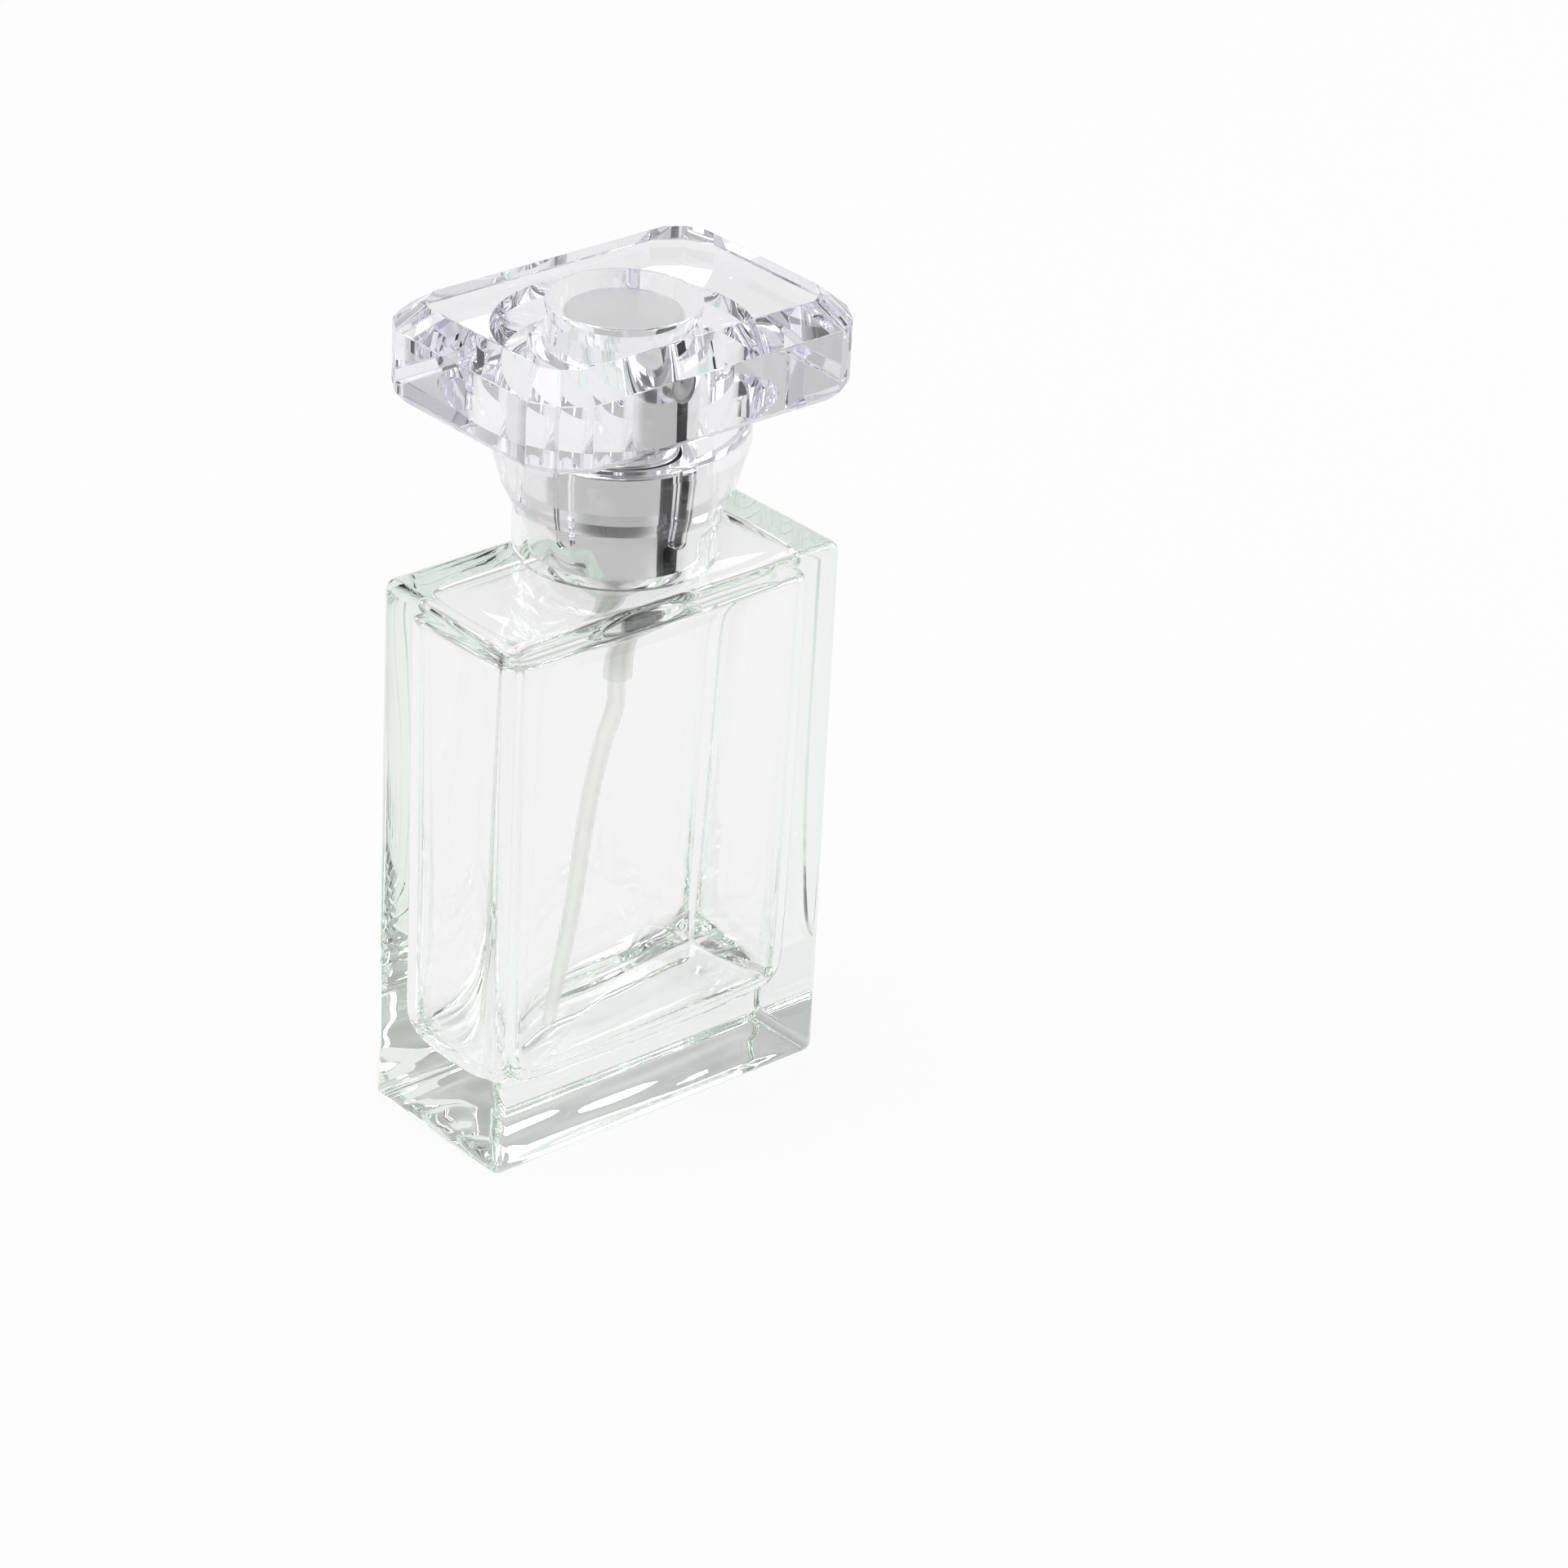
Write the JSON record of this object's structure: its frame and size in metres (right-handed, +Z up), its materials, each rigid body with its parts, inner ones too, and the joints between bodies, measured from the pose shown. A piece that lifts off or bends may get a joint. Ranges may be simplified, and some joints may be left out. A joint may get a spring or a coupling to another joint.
{
  "type": "spray bottle",
  "caption": "Rectangular clear glass spray bottle for aftershave, with a crimped mist pump, a push-down spray button and a clear faceted lift-off cap.",
  "frame": {"origin": "middle of the flat base, on the surface the bottle stands on", "axes": "+Z up along the neck, -Y out of the wide front face, +X along the bottle's width"},
  "size_m": [0.043, 0.0294, 0.0882],
  "materials": {
    "bottle_glass": "clear",
    "clear_acrylic": "clear polished",
    "polished_aluminium": "polished",
    "plain_aluminium": "plain",
    "natural_plastic": "translucent natural",
    "soft_plastic": "translucent soft",
    "seal_rubber": "matt",
    "steel": "bright"
  },
  "bodies": {
    "bottle": {"glass_bottle": "bottle_glass", "neck_gasket": "seal_rubber", "crimp_ferrule": "plain_aluminium", "collar_liner": "natural_plastic", "collar_shell": "polished_aluminium", "pump_body": "natural_plastic", "pump_closure": "natural_plastic", "dip_tube": "soft_plastic", "pump_spring": "steel"},
    "valve_ball": {"inlet_ball": "steel"},
    "plunger": {"stem": "natural_plastic", "piston": "soft_plastic"},
    "actuator": {"actuator_core": "natural_plastic", "actuator_shell": "polished_aluminium", "spray_insert": "natural_plastic"},
    "lid": {"cap": "clear_acrylic"}
  },
  "joints": [
    {"name": "cap_lift", "type": "slide", "parent": "bottle", "child": "lid", "axis": [0, 0, 1], "range_m": [0, 0.03]},
    {"name": "actuator_press", "type": "slide", "parent": "bottle", "child": "plunger", "axis": [0, 0, -1], "range_m": [0, 0.0038], "stiffness_N_per_m": 1500, "springref_m": -0.002, "deforming": ["pump_spring"]},
    {"name": "actuator_turn", "type": "hinge", "parent": "plunger", "child": "actuator", "pos_m": [0, 0, 0.08], "axis": [0, 0, 1], "continuous": true},
    {"name": "inlet_ball_lift", "type": "slide", "parent": "bottle", "child": "valve_ball", "axis": [0, 0, 1], "range_m": [0, 0.0005]}
  ]
}
